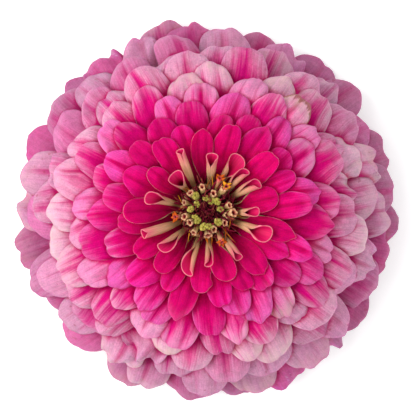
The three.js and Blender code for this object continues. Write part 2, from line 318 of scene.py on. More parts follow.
def resampled(profile, steps):
    """A profile of a few corners with its edges cut into even steps."""
    corners = np.asarray(profile, float)
    length = np.concatenate([[0], np.cumsum(np.hypot(*np.diff(corners, axis=0).T))])
    at = np.linspace(0, length[-1], steps)
    return np.column_stack([np.interp(at, length, column) for column in corners.T])


def add_turned(batch, profile, steps, sort=0.0, sides=72, ribs=0.0, closed=False):
    """Adds a body turned round the Z axis from corners of radius and height, with faint ribs. Its
    sort is the first number of its kind."""
    points = resampled(profile, steps)
    turn = ring_turns(sides)
    swell = ribs * np.sin(12 * turn) + 0.5 * ribs * np.sin(31 * turn + 1)
    along = np.linspace(0, 1, steps)[:, None] + 0 * turn
    place = np.stack([along, 0 * along + turn / (2 * math.pi), 0 * along], axis=-1)
    rings = rings_at(points[:, :1] * (1 + swell), points[:, 1:], turn)
    add_rings(batch, rings, place, (sort, 0.5, 0.5), closed)


def add_sliver(batch, foot, aim, width, length, curl, kind):
    """Adds a thin pointed blade or thread that leaves its foot towards aim and curls to one side."""
    share = np.linspace(0, 1, SLIVER_ROWS)[:, None]
    aim = aim / np.linalg.norm(aim)
    side = np.cross(aim, (0.8, 0.6, 0.0) if abs(aim[2]) > 0.9 else (0.0, 0.0, 1.0))
    side /= np.linalg.norm(side)
    back = np.cross(side, aim)
    centre = foot + length * (aim * share + curl[0] * side * share**2 + curl[1] * back * share**2)
    taper = width * (1 - 0.9 * share**1.6)
    corners = [(-1, 0), (0, -0.3), (1, 0), (0, 0.3)]
    rings = np.stack([centre + taper * (a * side + b * back) for a, b in corners], axis=1)
    place = np.stack([share, 0 * share, 0 * share], axis=-1).repeat(4, axis=1)
    add_rings(batch, rings, place, kind)


# Spines
def spine(root, tip, rise, droop, share):
    """Points and directions, in the plane of radius and height, of a curve from root to tip."""
    root, tip = np.asarray(root, float), np.asarray(tip, float)
    leave, arrive = (handle * np.hypot(*(tip - root)) for handle in HANDLES)
    rise, droop = math.radians(rise), math.radians(droop)
    first = root + leave * np.array([math.cos(rise), math.sin(rise)])
    last = tip + arrive * np.array([-math.cos(droop), math.sin(droop)])
    u = share[..., None]
    point = (1 - u)**3 * root + 3 * u * (1 - u)**2 * first + 3 * u**2 * (1 - u) * last + u**3 * tip
    slope = (1 - u)**2 * (first - root) + 2 * u * (1 - u) * (last - first) + u**2 * (tip - last)
    return point, slope / np.linalg.norm(slope, axis=-1, keepdims=True)


def bend(root, tip, rise, droop, azimuth, roll, sway, share, sideways, lift):
    """Lays the points (share along, sideways, lift) of a blade along its spine, turned to an azimuth.
    Gives the points, and the blade's upward and sideways directions at each."""
    point, slope = spine(root, tip, rise, droop, share)
    turn = math.radians(azimuth) + math.radians(sway) * share**2
    outward = rings_at(1.0, 0.0, turn)
    across = np.stack([-np.sin(turn), np.cos(turn), 0 * turn], axis=-1)
    vertical = np.array([0.0, 0.0, 1.0])
    along = outward * slope[..., :1] + vertical * slope[..., 1:]
    up = np.cross(along, across)
    angle = (math.radians(roll) * share)[..., None]
    across, up = across * np.cos(angle) + up * np.sin(angle), up * np.cos(angle) - across * np.sin(angle)
    middle = outward * point[..., :1] + vertical * point[..., 1:]
    return middle + across * sideways[..., None] + up * lift[..., None], up, across


# Petals
def tier_of(index):
    return sum(first <= index for first in TIERS) - 1


def root_height(index):
    return FIRST_ROOT + ROOT_PITCH * index + TIER_STEP * tier_of(index)


def root_radius(height):
    return ROOT_RADIUS - ROOT_TAPER * (height - FIRST_ROOT)


RECEPTACLE_TOP = root_height(PETALS + YOUNG_PETALS - 1) + COLLAR_LIP
DISC_FOOT = RECEPTACLE_TOP + GAP


def petal_stage(index):
    columns = list(zip(*PETAL_STAGES))
    return {key: np.interp(index, columns[0], column) for key, column in zip(STAGE_KEYS, columns[1:])}


def petal_roll(index):
    number, least, turn = ON_EDGE
    turned = draw(index, number)
    return (math.copysign(turn, turned) if abs(turned) > least else 0) + stray(index, "roll")


def petal_spine(index, stage):
    """Where a petal's spine runs, as in the solids."""
    height = root_height(index)
    tip_radius = min(LONGEST_REACH, stage["tip_radius"] + stray(index, "tip_radius"))
    tip_height = max(LEAST_HEIGHT, stage["tip_height"] + stray(index, "tip_height"))
    return {
        "root": (root_radius(height), height),
        "tip": (tip_radius, tip_height),
        "rise": stage["rise"],
        "droop": stage["droop"] + stray(index, "droop"),
        "azimuth": GOLDEN_ANGLE * index + stray(index, "azimuth"),
        "roll": petal_roll(index),
        "sway": stray(index, "sway"),
    }


def petal_grid():
    """Places along and across a petal, closer together at its tip and its margins."""
    along = np.linspace(0, 1, ALONG) ** 0.85
    across = np.sin(np.linspace(-1, 1, ACROSS) * math.pi / 2)
    return np.meshgrid(along, across, indexing="ij")


def petal_outline(share):
    """Half width along a petal as a share of the widest. The rounded tip comes from tip_reach."""
    return CLAW + (1 - CLAW) * np.sin(np.minimum(share / WIDEST, 1) * math.pi / 2) ** CLAW_FLARE


def tip_cap(across, bluntness):
    """How a tip rounds off across a petal, from 1 on its midrib to 0 at its margins."""
    return (1 - np.minimum(np.abs(across), 1) ** bluntness) ** (1 / TIP_ROUNDING)


def tip_reach(index, across):
    """How far an open petal reaches at each place across it, as a share of its length. Its tip is
    blunter or sharper, notched or pointed, waved, and cut askew, by its random draws."""
    age = index / PETALS
    cap = tip_cap(across, (2.5 + 0.4 * max(0.0, 1 - 4 * age)) * (1 + 0.3 * draw(index, 40)))
    nick = draw(index, 41)
    notch = 0.06 * max(0.0, nick - 0.2) * (1 - 0.6 * age) * np.exp(-(across / 0.16) ** 2)
    point = 0.05 * max(0.0, -nick - 0.3) * min(1.0, 3 * age) * np.exp(-(across / 0.22) ** 2)
    wave = 0.008 * (1 - age) * np.sin(6 * across + 3 * draw(index, 47)) * cap
    askew = 0.025 * draw(index, 42) * across * cap**0.5
    return mix(WIDEST, 1, cap) - notch + point + wave + askew


def section(across, lean):
    """Unit places across a blade, sideways and up, given in radians how far its surface leans there."""
    step = np.diff(across, axis=1)

    def run(slope):
        pieces = step * (slope[:, 1:] + slope[:, :-1]) / 2
        total = np.concatenate([np.zeros((len(slope), 1)), np.cumsum(pieces, axis=1)], axis=1)
        return total - total[:, [across.shape[1] // 2]]

    return run(np.cos(lean)), run(np.sin(lean))


def creases(index, share, across):
    """How deep the pleats of a petal are at each point, from 0 to 1, and how near it is to one: a
    petal has one sharp fold, or two soft ones."""
    shown = smooth(0.18, 0.5, share) * (1 - 0.45 * smooth(0.9, 1, share))
    shift = 0.12 * draw(index, 44)
    if draw(index, 43) > -0.2:
        away = np.abs(across - shift)
        width = mix(*FOLD_WIDTHS, smooth(0.5, 0.7, index / PETALS))
        return shown * np.exp(-away / width), np.exp(-away / 0.2)
    offsets = [across - place - shift for place in TWIN_FOLDS]
    groove = sum(np.exp(-(away / 0.12) ** 2) for away in offsets)
    near = sum(np.exp(-np.abs(away) / 0.14) for away in offsets)
    return 0.6 * shown * groove, 0.8 * near


def crumple(index, share, across):
    """Soft dents and waves in a blade, larger in a few of the oldest petals."""
    crushed = draw(index, 50) > 0.55 and index < PETALS / 2
    strength = 0.04 + 0.07 * max(0.0, draw(index, 50)) + 0.12 * crushed

    def dent(number):
        run, spread, turn = (draw(index, 60 + 3 * number + part) for part in range(3))
        return np.sin(math.pi * (share * (3.6 + 2.6 * run) + across * (1.4 + 1.9 * spread) + 2 * turn))

    turns = share * (2.2 + 0.8 * draw(index, 51)) + 0.3 * np.sign(across) + draw(index, 52)
    edge = np.sin(2 * math.pi * turns) * np.abs(across) ** 3
    dents = strength * sum(dent(number) for number in range(DENTS)) / 2
    return smooth(0.4, 0.85, share) * (dents + (0.02 + 0.25 * strength) * edge)


def margin_roll(index, share, across):
    """How far the margins of the youngest open petals are rolled up near their bases, in radians."""
    left, right = (max(0.0, 0.45 + 0.75 * draw(index, feature)) for feature in (53, 54))
    lasts = 0.45 + 0.22 * draw(index, 55)
    most = 2.9 * smooth(0.8, 0.93, index / PETALS) * (1 - smooth(lasts - 0.2, lasts + 0.2, share))
    return most * np.where(across < 0, left, right) * np.abs(across) ** 1.6


def finished_blade(index, spine_place, along, across, share, lean, sideways, lift, thickness, relief=0.0):
    """A petal laid along its spine: its middle surface, and what its shell and its colours need."""
    middle, up, side = bend(share=share, sideways=sideways, lift=lift, **spine_place)
    return {
        "middle": middle,
        "up": up * np.cos(lean)[..., None] - side * np.sin(lean)[..., None],
        "thickness": mix(thickness, RIM_THICKNESS, np.maximum(np.abs(across), along) ** 6),
        "along": along,
        "across": across,
        "kind": (index / PETALS, chance(index, 48), chance(index, 49)),
        "relief": relief,
    }


def open_petal(index):
    """One open ray petal with its pleats, its waved edge and its tip."""
    stage = petal_stage(index)
    age = index / PETALS
    broader = 1 + BROADER * (smooth(0.15, 0.35, age) - smooth(0.75, 0.9, age))
    widest = broader * stage["width"] / 2 * (1 + stray(index, "width"))
    along, across = petal_grid()
    share = along * tip_reach(index, across)
    half = widest * petal_outline(share)
    cup = 1.9 * stage["cup"] * (1 + stray(index, "cup"))
    lean = np.sign(across) * (margin_roll(index, share, across) - cup * np.abs(across) ** 0.85)
    sideways, lift = section(across, lean)
    groove, fold = creases(index, share, across)
    depth = 0.10 + 0.09 * chance(index, 45) + 0.08 * smooth(0.5, 0.7, age)
    hood = (0.16 + 0.18 * draw(index, 46)) * smooth(0.78, 1.0, share) ** 1.5
    lift = half * lift + widest * (crumple(index, share, across) - depth * groove - hood)
    thickness = mix(ROOT_THICKNESS, BLADE_THICKNESS, smooth(0, 0.3, share))
    relief = np.stack([groove, 0 * groove, fold], axis=-1)
    return finished_blade(index, petal_spine(index, stage), along, across, share, lean, half * sideways, lift,
                          thickness, relief)


def rolled_petal(index):
    """A young petal: rolled into a tube, with a slanting mouth that some have opened into a spoon."""
    along, across = petal_grid()
    slant = mix(0.3, 1.0, chance(index, 50))
    share = along * mix(1.0, mix(WIDEST, 1, tip_cap(across, 2)), slant)
    youth = (index - PETALS) / (YOUNG_PETALS - 1)
    reach = mix(*TUBE_REACH, youth) * (1 + 0.12 * draw(index, 51))
    half = reach * mix(petal_outline(share), 1.0, 0.4)
    spoon = min(1.0, max(0.0, 1.5 * draw(index, 52) - 0.2))
    starts = 0.76 - 0.26 * spoon + 0.08 * draw(index, 53)
    roll = mix(TUBE_ROLL, mix(*MOUTH_ROLL, spoon), smooth(starts, 1.05, share))
    uneven = 1 + 0.8 * draw(index, 54) ** 3 * np.sign(across) * smooth(0.2, 0.9, share)
    lean = np.sign(across) * roll * uneven * np.abs(across) ** 1.2
    sideways, lift = section(across, lean)
    return finished_blade(index, petal_spine(index, petal_stage(index)), along, across, share, lean,
                          half * sideways, half * lift - 0.35 * reach, BLADE_THICKNESS)


def blurred(grids):
    """Averages each point with its neighbours in grids that are an array's last two axes."""
    for axis in (-2, -1):
        size = grids.shape[axis]
        ends = [(0, 0)] * grids.ndim
        ends[axis] = (1, 1)
        padded = np.pad(grids, ends, mode="edge")
        before, at, after = (np.take(padded, range(start, start + size), axis=axis) for start in range(3))
        grids = (before + 2 * at + after) / 4
    return grids


def heading(blade):
    """The direction in which a petal's tip lies, in degrees round the axis."""
    x, y, _ = blade["middle"][-1, ACROSS // 2]
    return math.degrees(math.atan2(y, x))


def press(blade, over):
    """Presses a petal down where it would stick out through the younger petals that lie over it."""
    size = ALONG * ACROSS
    quads = grid_faces(ALONG, ACROSS)
    points = np.concatenate([other["middle"].reshape(-1, 3) for other in over])
    faces = np.concatenate([quads + number * size for number in range(len(over))])
    tree = BVHTree.FromPolygons(points.tolist(), faces.tolist())
    for _ in range(PRESS_ROUNDS):
        push = np.zeros((size, 3))
        for number, point in enumerate(blade["middle"].reshape(-1, 3).tolist()):
            found, normal, _, distance = tree.find_nearest(point, PRESS_REACH)
            if found is None:
                continue
            above = (Vector(point) - found).dot(normal)
            if above > -PRESS_GAP:
                aside = math.sqrt(max(0.0, distance**2 - above**2))
                fade = 1 - smooth(0.6 * PRESS_REACH, PRESS_REACH, above)
                fade *= 1 - smooth(0, PRESS_FADE, aside)
                push[number] = -(above + PRESS_GAP) * fade * np.array(normal)
        push = push.T.reshape(3, ALONG, ACROSS) * smooth(0.2, 0.45, blade["along"])
        blade["middle"] = blade["middle"] + np.moveaxis(blurred(push), 0, -1)


def bedded_petals():
    """Every petal, from the oldest to the youngest, each pressed under the younger ones."""
    blades = [open_petal(index) for index in range(PETALS)]
    blades += [rolled_petal(index) for index in range(PETALS, PETALS + YOUNG_PETALS)]
    turns = [heading(blade) for blade in blades]
    for index in range(PETALS - 1, -1, -1):
        younger = range(index + 1, min(index + 1 + NEIGHBOURS, len(blades)))
        over = [blades[other] for other in younger
                if abs((turns[other] - turns[index] + 180) % 360 - 180) < NEAR_TURN]
        if over:
            press(blades[index], over)
        heights = blades[index]["middle"][..., 2]
        np.maximum(heights, FLOOR_CLEARANCE, out=heights)
    return blades


def petals(blades, name, material):
    batch = Batch()
    for blade in blades:
        add_shell(batch, **blade)
    return batch.build(f"{name}_ray_petals", material)


def sky_looks(normals):
    """Directions spread over the half space in front of each of the normals, closer together ahead."""
    turn = math.radians(GOLDEN_ANGLE) * np.arange(SKY_RAYS)
    ahead = np.sqrt(1 - (np.arange(SKY_RAYS) + 0.5) / SKY_RAYS)
    aside = np.sqrt(1 - ahead**2)
    first = np.cross(normals, (0.36, 0.48, 0.8))
    first /= np.linalg.norm(first, axis=1, keepdims=True)
    second = np.cross(normals, first)
    return (normals[:, None] * ahead[:, None] + first[:, None] * (aside * np.cos(turn))[:, None]
            + second[:, None] * (aside * np.sin(turn))[:, None])


def vectors(source, key):
    """The vectors that the items of a mesh hold under a key."""
    values = np.empty(3 * len(source), dtype=np.float32)
    source.foreach_get(key, values)
    return values.reshape(-1, 3)


def shade_crevices(pieces):
    """Writes into each petal's relief how much of what is over it the petals near it hide: the amount of
    painted crevice shade that its colour gets.
    """
    meshes = [piece.data for piece in pieces]
    corners = [vertex.co.copy() for mesh in meshes for vertex in mesh.vertices]
    starts = np.cumsum([0] + [len(mesh.vertices) for mesh in meshes]).tolist()
    faces = [[corner + start for corner in face.vertices]
             for mesh, start in zip(meshes, starts) for face in mesh.polygons]
    tree = BVHTree.FromPolygons(corners, faces)
    for mesh in meshes:
        upper = np.flatnonzero(vectors(mesh.attributes["place"].data, "vector")[:, 2] < 0.5)
        normals = vectors(mesh.vertex_normals, "vector")[upper].astype(float)
        begin = vectors(mesh.vertices, "co")[upper] + SKY_START * MM * normals
        crevice_shade = [sum(tree.ray_cast(start, way, SKY_REACH * MM)[0] is not None for way in ways) / SKY_RAYS
                  for start, ways in zip(begin.tolist(), sky_looks(normals).tolist())]
        relief = vectors(mesh.attributes["relief"].data, "vector")
        relief[upper, 1] = blurred(np.reshape(crevice_shade, (-1, ALONG, ACROSS))).ravel()
        mesh.attributes["relief"].data.foreach_set("vector", relief.ravel())


# Stalk, receptacle and bracts
CONE_FOOT = root_radius(CUP_TOP) - COLLAR_INSET
SHOULDER_RADIUS = CONE_FOOT - SHOULDER[0]
SHOULDER_HEIGHT = CUP_TOP - SHOULDER[1]


def stalk(material):
    """The cut stub of the stalk and the cone above it, with the skin that the petals root in."""
    batch = Batch()
    stub = ((ON_AXIS, 0), (STALK_RADIUS, 0), (STALK_RADIUS, STALK_LENGTH), (SHOULDER_RADIUS, SHOULDER_HEIGHT),
            (CONE_FOOT, CUP_TOP))
    add_turned(batch, stub, 40, ribs=0.008)
    foot = root_height(0) - COLLAR_LIP
    rim = root_radius(RECEPTACLE_TOP)
    cone = ((CONE_FOOT, CUP_TOP), (root_radius(foot) + SKIN_OUT, foot),
            (rim + SKIN_OUT, RECEPTACLE_TOP - SKIN_ROUND), (rim, RECEPTACLE_TOP), (ON_AXIS, RECEPTACLE_TOP))
    add_turned(batch, cone, 60, CONE_SORT, ribs=0.006)
    return batch.build("stalk_and_receptacle", material)


def bract(batch, index):
    """One rounded scale with a fringed edge."""
    stage = between(BRACT_KEYS, LOWEST_BRACT, HIGHEST_BRACT, index / (BRACTS - 1))
    rows, columns = BRACT_GRID
    along, across = np.meshgrid(np.linspace(0, 1, rows), np.linspace(-1, 1, columns), indexing="ij")
    teeth = FRINGE * np.sin(across * FRINGE_WAVE + 3 * draw(index, 71)) * smooth(0.2, 0.8, along)
    share = along * (0.80 + 0.20 * (1 - across**2) ** 0.5 + teeth)
    widest = stage["width"] / 2 * (1 + stray(index, "bract_width"))
    half = widest * np.maximum(0.4, np.sin(math.pi * (0.22 + 0.56 * share)) ** 0.6)
    lift = 0.05 * widest * np.sin(5 * share + 3 * across + 3 * draw(index, 72)) - BRACT_CUP * half * across**2
    root = (stage["root_radius"], stage["root_height"])
    tip_radius = stage["tip_radius"] + stray(index, "bract_reach")
    tip_height = stage["tip_height"] + stray(index, "bract_height")
    middle, up, _ = bend(root, (tip_radius, tip_height), stage["rise"], stage["droop"], GOLDEN_ANGLE * index,
                         stray(index, "bract_roll"), 0, share, across * half, lift)
    thickness = mix(BRACT_THICKNESS, BRACT_RIM, np.maximum(np.abs(across), along) ** 3)
    kind = (index / BRACTS, chance(index, 73), chance(index, 74))
    add_shell(batch, middle, up, thickness, along, across, kind)


def bracts(material):
    """The cup that the stalk's stub stands in, and the scales on it."""
    batch = Batch()
    bore = STALK_RADIUS + GAP
    inside = ((CONE_FOOT + GAP, CUP_TOP), (SHOULDER_RADIUS + GAP, SHOULDER_HEIGHT - GAP),
              (bore, STALK_LENGTH - GAP), (bore, 0.05))
    add_turned(batch, ((bore, 0),) + CUP_WALL + inside, 60, closed=True)
    for index in range(BRACTS):
        bract(batch, index)
    return batch.build("bract_scales", material)


# Disc
def stand(points, lean, root, azimuth):
    """Leans points outward, moves them to a root given as radius and height, and turns them."""
    lean, turn = math.radians(lean), math.radians(azimuth)
    x, y, z = np.moveaxis(points, -1, 0)
    out = x * math.cos(lean) + z * math.sin(lean) + root[0]
    height = z * math.cos(lean) - x * math.sin(lean) + root[1]
    x, y = out * math.cos(turn) - y * math.sin(turn), out * math.sin(turn) + y * math.cos(turn)
    return np.stack([x, y, height], axis=-1)


# Profiles of a floret: its radius and height as shares of its own, and how far each point is inside
OPEN_FLORET = (
    (0.55, 0.0, 0), (0.66, 0.3, 0), (0.80, 0.6, 0), (0.94, 0.84, 0), (1.0, 0.93, 0), (0.96, 1.0, 0),
    (0.82, 1.03, 0), (0.62, 1.0, 0.25), (0.46, 0.92, 0.7), (0.36, 0.8, 1), (0.2, 0.74, 1), (0.02, 0.73, 1),
)
CLOSED_FLORET = (
    (0.60, 0.0, 0), (0.80, 0.3, 0), (0.98, 0.55, 0), (1.04, 0.74, 0), (0.95, 0.88, 0), (0.72, 0.97, 0),
    (0.45, 1.0, 0.1), (0.25, 0.985, 0.3), (0.12, 0.95, 0.6), (0.02, 0.94, 0.6),
)


def floret(batch, length, radius, lean, root, azimuth, profile, kind):
    """One tube of the disc with its five lobes, open at the mouth or closed like a bud."""
    width, height, inside = np.asarray(profile).T[..., None]
    turn = ring_turns(FLORET_SIDES)
    top = smooth(0.5, 1.0, height)
    lobes = np.cos(5 * turn + 7 * kind[2])
    squash = (0.13 + 0.11 * kind[0]) * np.cos(2 * turn + 9 * kind[1])
    rings = rings_at(radius * width * (1 + 0.07 * top * lobes + top * squash),
                     length * height + 0.14 * radius * top * lobes, turn)
    place = np.stack(np.broadcast_arrays(height, lobes, inside), axis=-1)
    add_rings(batch, stand(rings, lean, root, azimuth), place, kind)


def disc_florets(material):
    """The ring that the disc florets root in, and the florets, open outside and closed inside."""
    batch = Batch()
    wall = tuple((radius, DISC_FOOT + height) for radius, height in RING_WALL)
    add_turned(batch, ((DISC_BORE, DISC_FOOT),) + wall, 24, RING_SORT, closed=True)
    for index in range(DISC_FLORETS):
        stage = between(FLORET_KEYS, OUTER_FLORET, INNER_FLORET, index / (DISC_FLORETS - 1))
        is_open = index < FIRST_BUD
        unruly = 0.3 * draw(index, 83)
        length = stage["length"] * (1 + stray(index, "floret_length")) * (1 + 0.5 * unruly)
        radius = stage["radius"] * ((OPEN_RADIUS if is_open else BUD_RADIUS) + 0.12 * draw(index, 84))
        lean = stage["lean"] + stray(index, "floret_lean") + FLORET_SPRAWL * draw(index, 85)
        lean += OPEN_LEAN if is_open else BUD_LEAN
        root = (stage["root_radius"] + unruly - OPEN_ROOT_IN * is_open, DISC_FOOT + stage["root_height"])
        azimuth = GOLDEN_ANGLE * index + stray(index, "floret_azimuth")
        kind = (0.0 if is_open else 1.0, chance(index, 81), chance(index, 82))
        floret(batch, length, radius, lean, root, azimuth, OPEN_FLORET if is_open else CLOSED_FLORET, kind)
    return batch.build("disc_tubes", material)


def star(batch, number, azimuth, length, lean):
    """One disc floret that has opened into an orange star."""
    root = (STAR_ROOT[0], DISC_FOOT + STAR_ROOT[1])
    kind = (0.2, chance(number, 91), chance(number, 92))
    floret(batch, length, STAR_TUBE, lean, root, azimuth, OPEN_FLORET, kind)
    for lobe in range(STAR_LOBES):
        turn = math.radians(360 / STAR_LOBES * lobe + 30 * draw(number, 93))
        foot = 0.6 * radial(turn) + (0, 0, length)
        foot, end = stand(np.array([foot, foot + radial(turn, 0.55)]), lean, root, azimuth)
        place = STAR_LOBES * number + lobe
        add_sliver(batch, foot, end - foot, LOBE_WIDTH, 1.0 + 0.4 * draw(place, 94),
                   (0.6 * draw(place, 95), 0.7 * draw(place, 90)), (1.0,) + kind[1:])


def star_florets(material):
    """The few disc florets that have opened into orange stars, and loose orange threads round them."""
    batch = Batch()
    for number, (azimuth, length, lean) in enumerate(STARS):
        star(batch, number, azimuth, length, lean)
    for index in range(THREADS):
        outward = radial(2 * math.pi * index / THREADS + 0.5 * draw(index, 96))
        foot = outward * (THREAD_ROOT[0] + 0.9 * draw(index, 97)) + (0, 0, DISC_FOOT + THREAD_ROOT[1])
        aim = outward * (0.5 + 0.4 * draw(index, 98)) + (0.5 * draw(index, 99), 0.5 * draw(index, 100), 0.9)
        add_sliver(batch, foot, aim, THREAD_WIDTH, 4.4 + 1.4 * draw(index, 101),
                   (0.45 * draw(index, 102), -0.3 + 0.3 * draw(index, 103)), (1.0, 0.5, chance(index, 104)))
    return batch.build("star_florets", material)


def tuft(material):
    """Chaff packed in the middle of the disc."""
    batch = Batch()
    radius = DISC_BORE - GAP
    edge, top = (DISC_FOOT + height for height in TUFT_CORE)
    core = ((ON_AXIS, DISC_FOOT), (radius, DISC_FOOT), (radius, edge), (ON_AXIS, top))
    add_turned(batch, core, 24, sides=32)
    for index in range(TUFT_SCALES):
        reach = math.sqrt((index + 0.5) / TUFT_SCALES)
        outward = radial(math.radians(GOLDEN_ANGLE * index))
        foot = outward * reach * (radius - 0.4) + (0, 0, DISC_FOOT + mix(*TUFT_ROOTS, reach))
        aside = (0.35 * draw(index, 112), 0.35 * draw(index, 118), 1)
        aim = outward * (0.5 * reach + 0.3 * draw(index, 111)) + aside
        curl = (0.4 * draw(index, 115), 0.4 * draw(index, 116))
        kind = (1.0, chance(index, 117), chance(index, 119))
        add_sliver(batch, foot, aim, 0.34 + 0.1 * draw(index, 113), 3.4 + 1.1 * draw(index, 114), curl, kind)
    return batch.build("chaff_tuft", material)


def rim_chaff(material):
    """Chaff that stands between the disc florets and round them."""
    batch = Batch()
    for index in range(RIM_SCALES):
        reach = math.sqrt(mix(0.16, 1.0, (index + 0.5) / RIM_SCALES))
        radius = RIM_REACH * reach
        outward = radial(math.radians(GOLDEN_ANGLE * index + 20 * draw(index, 121)))
        foot = outward * radius + (0, 0, DISC_FOOT + np.interp(radius, *zip(*RIM_ROOTS)))
        aim = outward * (0.1 + 0.6 * reach**2) + (0.4 * draw(index, 122), 0.4 * draw(index, 123), 1)
        curl = (0.3 * draw(index, 126), 0.2 * draw(index, 127))
        kind = (1 - reach**4, chance(index, 128), chance(index, 129))
        add_sliver(batch, foot, aim, 0.38 + 0.12 * draw(index, 124), 4.4 + 1.4 * draw(index, 125), curl, kind)
    return batch.build("rim_chaff", material)


# Materials
def srgb(red, green, blue):
    """A colour given as it looks on a screen, from 0 to 255, as linear light."""
    def linear(level):
        level /= 255
        return level / 12.92 if level <= 0.04045 else ((level + 0.055) / 1.055) ** 2.4
    return (linear(red), linear(green), linear(blue), 1.0)


class Value:
    """A number or a colour at each point of a material. What is done to it adds nodes."""

    def __init__(self, paint, socket):
        self.paint, self.socket = paint, socket

    def math(self, operation, other=0.0):
        return self.paint.value("ShaderNodeMath", {0: self, 1: other}, operation=operation)

    __add__ = partialmethod(math, "ADD")
    __sub__ = partialmethod(math, "SUBTRACT")
    __mul__ = __rmul__ = partialmethod(math, "MULTIPLY")
    __abs__ = partialmethod(math, "ABSOLUTE")
    largest = partialmethod(math, "MAXIMUM")

    def ease(self, low, high, start=0.0, end=1.0):
        """Eases from start at low to end at high."""
        inputs = {"Value": self, "From Min": low, "From Max": high, "To Min": start, "To Max": end}
        return self.paint.value("ShaderNodeMapRange", inputs, interpolation_type="SMOOTHSTEP")

    def ramp(self, stops):
        """A colour read from stops of (place, linear colour)."""
        made = self.paint.node("ShaderNodeValToRGB", {"Fac": self})
        points = made.color_ramp.elements
        while len(points) < len(stops):
            points.new(0.5)
        for point, (place, colour) in zip(points, stops):
            point.position = place
            point.color = colour
        return Value(self.paint, made.outputs["Color"])

    def curve(self, stops):
        """A colour read from stops of (place, red, green, blue)."""
        return self.ramp([(place, srgb(*levels)) for place, *levels in stops])

    def level(self, stops):
        """A number read from stops of (place, number)."""
        colours = [(place, (number, number, number, 1)) for place, number in stops]
        return self.paint.value("ShaderNodeSeparateColor", {0: self.ramp(colours)})

    def shaded(self, shade):
        """The colour darkened or lightened by a number."""
        return self.paint.blend(1.0, self, self.paint.vector(shade, shade, shade), "MULTIPLY")


class Paint:
    """A material being built. A plain colour is given as it looks on a screen, from 0 to 255."""

    def __init__(self, name):
        self.material = bpy.data.materials.new(name)
        self.material.use_nodes = True
        self.tree = self.material.node_tree
        self.tree.nodes.clear()
        self.colour = None

    def node(self, kind, inputs=(), **settings):
        made = self.tree.nodes.new(kind)
        for key, value in settings.items():
            setattr(made, key, value)
        for key, value in dict(inputs).items():
            if isinstance(value, Value):
                self.tree.links.new(value.socket, made.inputs[key])
            else:
                made.inputs[key].default_value = value
        return made

    def value(self, kind, inputs=(), output=0, **settings):
        """Adds a node and gives one of its outputs."""
        return Value(self, self.node(kind, inputs, **settings).outputs[output])

    def parts(self, vector):
        made = self.node("ShaderNodeSeparateXYZ", {0: vector})
        return [Value(self, made.outputs[axis]) for axis in "XYZ"]

    def split(self, name):
        """The three numbers of a point's attribute."""
        return self.parts(self.value("ShaderNodeAttribute", output="Vector", attribute_name=name))

    def where(self):
        return self.value("ShaderNodeTexCoord", output="Object")

    def vector(self, x, y, z):
        return self.value("ShaderNodeCombineXYZ", {"X": x, "Y": y, "Z": z})

    def noise(self, vector, scale, detail=2.0, roughness=0.5):
        inputs = {"Vector": vector, "Scale": scale, "Detail": detail, "Roughness": roughness}
        return self.value("ShaderNodeTexNoise", inputs)

    def light(self, colour):
        """A colour, as linear light if it is a plain one."""
        return colour if isinstance(colour, Value) else srgb(*colour)

    def blend(self, share, a, b, kind="MIX"):
        inputs = {0: share, 6: self.light(a), 7: self.light(b)}
        return self.value("ShaderNodeMix", inputs, 2, data_type="RGBA", blend_type=kind)

    def lay(self, share, colour):
        """Lays a colour over the material's, as thickly as its share from 0 to 1."""
        self.colour = self.blend(share, self.colour, colour)

    def shade(self, shade):
        self.colour = self.colour.shaded(shade)

    def finish(self, roughness, bump=None, depth=0.0, glow=None, **sockets):
        """Ends the material. Depth is that of its bumps, glow is the weight, the reach by colour and
        the scale of the light under its surface, and the sockets are the shader's."""
        inputs = {"Base Color": self.light(self.colour), "Roughness": roughness}
        inputs.update({key.replace("_", " "): value for key, value in sockets.items()})
        if bump is not None:
            bumps = {"Height": bump, "Strength": 1.0, "Distance": depth * MM}
            inputs["Normal"] = self.value("ShaderNodeBump", bumps)
        if glow is not None:
            inputs["Subsurface Weight"], inputs["Subsurface Radius"], scale = glow
            inputs["Subsurface Scale"] = scale * MM
        self.node("ShaderNodeOutputMaterial", {"Surface": self.value("ShaderNodeBsdfPrincipled", inputs)})
        return self.material


# Colours of the open petals by age, from the oldest at 0 to the youngest at 1
DEEP = ((0.0, 158, 26, 92), (0.2, 168, 14, 90), (0.4, 178, 0, 84), (0.65, 160, 0, 66), (1.0, 146, 0, 54))
HOT = ((0.0, 184, 58, 124), (0.2, 196, 42, 124), (0.4, 212, 12, 124), (0.65, 216, 2, 116), (1.0, 200, 0, 92))
TIP = ((0.0, 166, 92, 136), (0.2, 202, 138, 170), (0.4, 220, 156, 182), (0.55, 220, 142, 174),
       (0.7, 222, 92, 160), (0.85, 220, 40, 146), (1.0, 206, 8, 112))
# Painted crevice shade by age, laid where petals hide each other, for the shade and the light through them
CREVICE_SHADE = ((0.0, 162, 30, 98), (0.3, 182, 10, 96), (0.6, 186, 0, 86), (1.0, 200, 2, 84))
EDGE = ((0.0, 164, 60, 114), (0.3, 192, 92, 138), (0.5, 220, 150, 168), (0.8, 220, 112, 136),
        (1.0, 214, 116, 126))
UNDERSIDE = ((0.0, 180, 112, 148), (0.6, 198, 110, 142), (0.85, 206, 150, 116), (1.0, 204, 174, 124))

